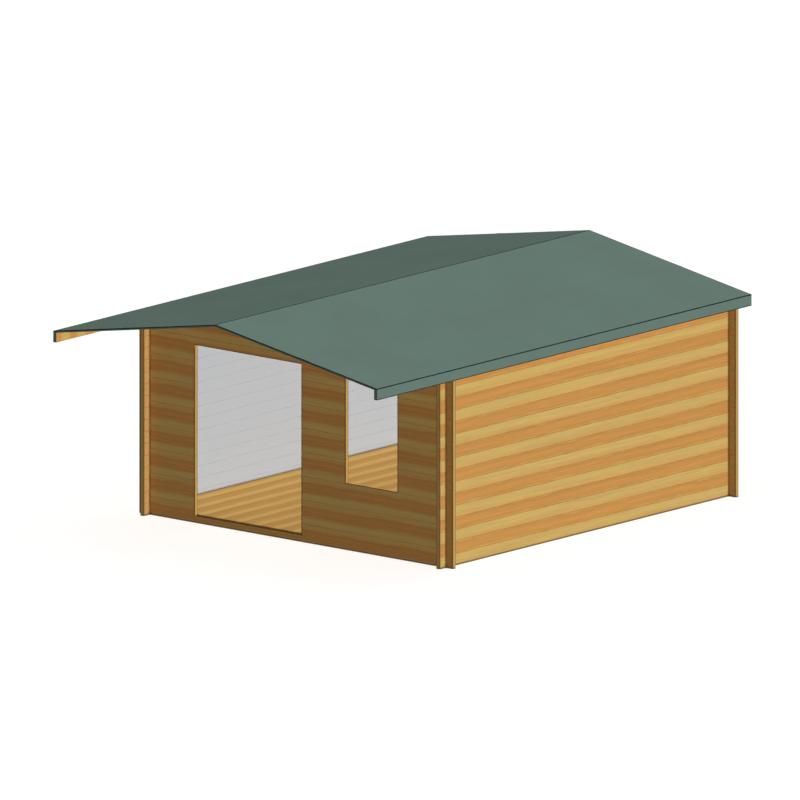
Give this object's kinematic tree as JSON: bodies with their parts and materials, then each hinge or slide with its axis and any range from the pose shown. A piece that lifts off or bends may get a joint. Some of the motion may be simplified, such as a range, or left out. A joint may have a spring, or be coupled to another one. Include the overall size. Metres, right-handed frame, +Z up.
{
  "type": "log cabin",
  "caption": "Log cabin of notched, interlocking squared logs with an open doorway, a tall window opening and a low felted gable roof that runs out over the front as a canopy.",
  "frame": {"origin": "ground level under the middle of the roof's outline", "axes": "+Z up, +Y from the front wall to the back wall, +X to the right as seen from the front"},
  "size_m": [4.325, 5.925, 2.47],
  "materials": {
    "pale_log": "planed pale softwood",
    "warm_log": "planed warm-toned softwood",
    "floor_board": "planed softwood boards",
    "floor_joist": "sawn softwood",
    "purlin": "planed softwood",
    "roof_board": "planed softwood boards",
    "eaves_board": "planed softwood",
    "roof_felt": "matt green mineral roofing felt"
  },
  "bodies": {
    "root": {"floor_joists": "floor_joist", "floor_deck": "floor_board", "left_wall_odd_logs": "pale_log", "left_wall_even_logs": "warm_log", "right_wall_odd_logs": "pale_log", "right_wall_even_logs": "warm_log", "back_base_log": "pale_log", "back_wall_odd_logs": "warm_log", "back_wall_even_logs": "pale_log", "back_gable_odd_logs": "warm_log", "back_gable_even_logs": "pale_log", "front_base_log": "pale_log", "left_pier_odd_logs": "warm_log", "left_pier_even_logs": "pale_log", "middle_pier_odd_logs": "warm_log", "middle_pier_even_logs": "pale_log", "right_pier_odd_logs": "warm_log", "right_pier_even_logs": "pale_log", "apron_odd_logs": "warm_log", "apron_even_logs": "pale_log", "lintel_log": "warm_log", "front_top_log": "pale_log", "front_gable_odd_logs": "warm_log", "front_gable_even_logs": "pale_log", "ridge_purlin": "purlin", "left_purlin": "purlin", "right_purlin": "purlin", "left_roof_boards": "roof_board", "right_roof_boards": "roof_board", "left_eaves_board": "eaves_board", "right_eaves_board": "eaves_board", "left_roof_felt": "roof_felt", "right_roof_felt": "roof_felt"}
  },
  "joints": []
}
